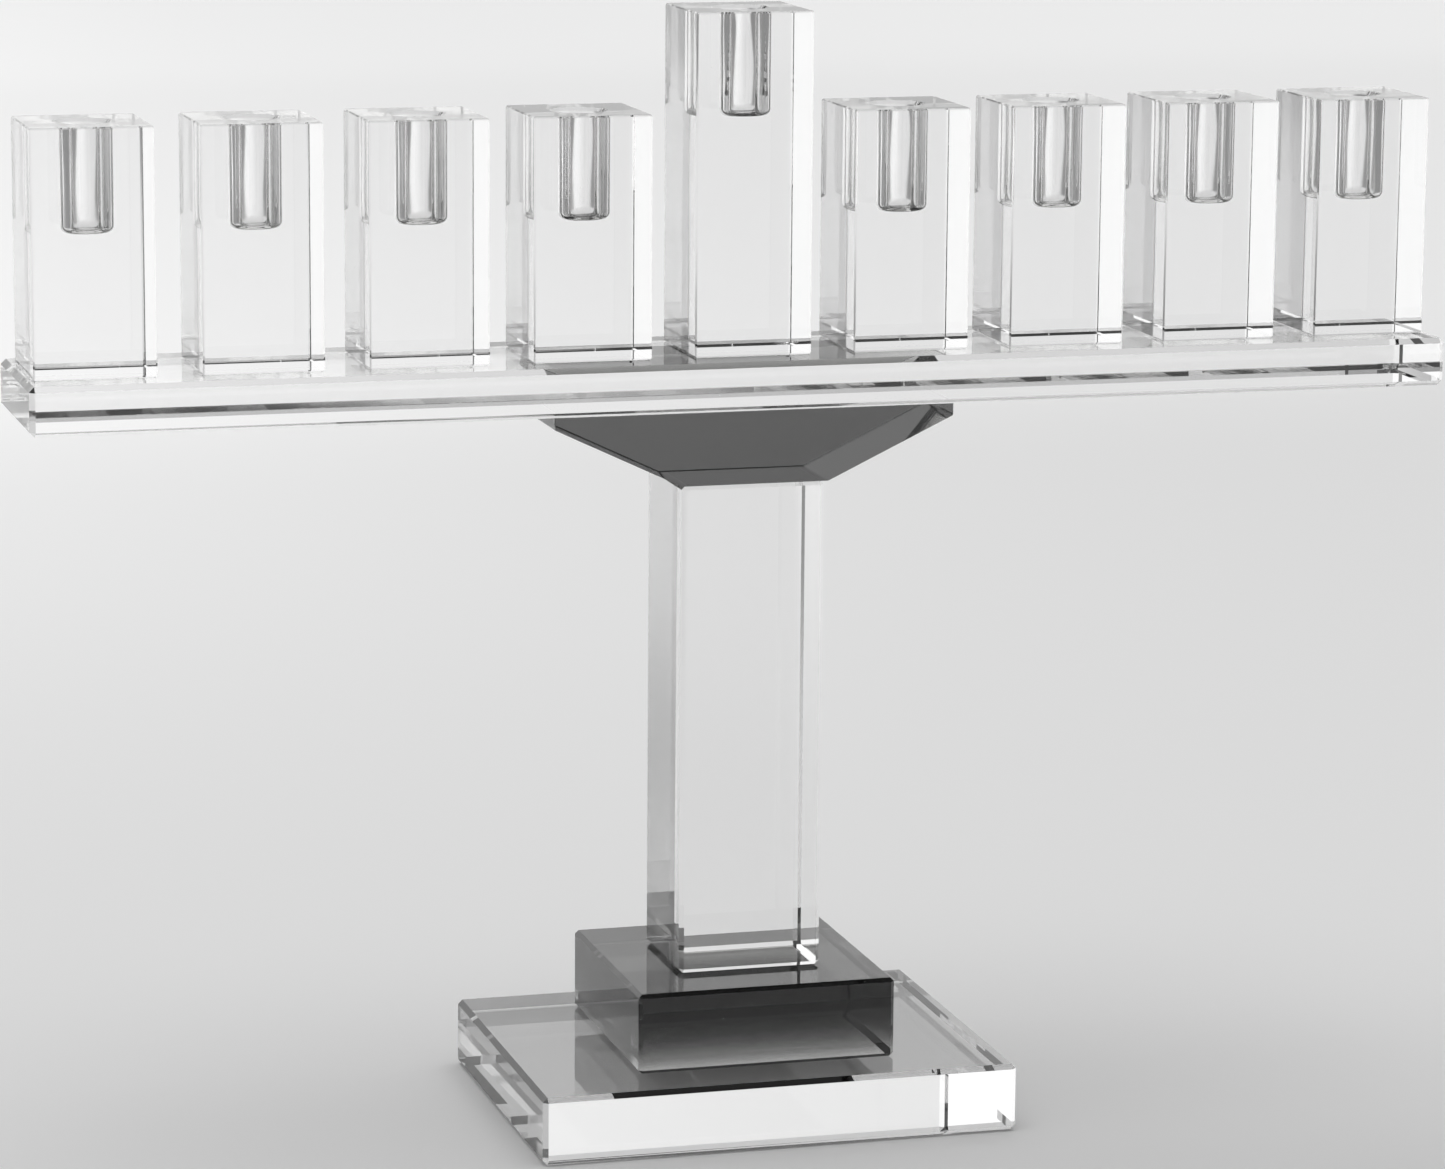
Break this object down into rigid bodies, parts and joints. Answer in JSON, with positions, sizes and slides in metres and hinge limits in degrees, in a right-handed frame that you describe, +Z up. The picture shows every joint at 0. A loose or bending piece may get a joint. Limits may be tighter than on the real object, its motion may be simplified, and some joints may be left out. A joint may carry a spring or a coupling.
{
  "type": "menorah",
  "caption": "Free-standing Hanukkah menorah of glued crystal blocks: square candle blocks with drilled bores on a crossbar, on a corbel, stem and stepped plinth.",
  "frame": {"origin": "on the table, under the middle of the lower plinth", "axes": "+X along the row of lights to the right, +Y to the back, +Z up"},
  "size_m": [0.3026, 0.079, 0.2335],
  "materials": {
    "clear_crystal": "ground and polished clear optical crystal, faint wipe marks and specks",
    "smoke_crystal": "ground and polished smoke-grey optical crystal, dark but see-through",
    "adhesive": "thin clear film of light-cured adhesive"
  },
  "bodies": {
    "root": {"candle_block_1": "clear_crystal", "candle_block_2": "clear_crystal", "candle_block_3": "clear_crystal", "candle_block_4": "clear_crystal", "shamash_block": "clear_crystal", "candle_block_5": "clear_crystal", "candle_block_6": "clear_crystal", "candle_block_7": "clear_crystal", "candle_block_8": "clear_crystal", "crossbar": "clear_crystal", "stem": "clear_crystal", "lower_plinth": "clear_crystal", "corbel": "smoke_crystal", "upper_plinth": "smoke_crystal", "bond_block_1": "adhesive", "bond_block_2": "adhesive", "bond_block_3": "adhesive", "bond_block_4": "adhesive", "bond_block_5": "adhesive", "bond_block_6": "adhesive", "bond_block_7": "adhesive", "bond_block_8": "adhesive", "bond_shamash": "adhesive", "bond_crossbar_corbel": "adhesive", "bond_corbel_stem": "adhesive", "bond_stem_plinth": "adhesive", "bond_plinths": "adhesive"}
  },
  "joints": []
}
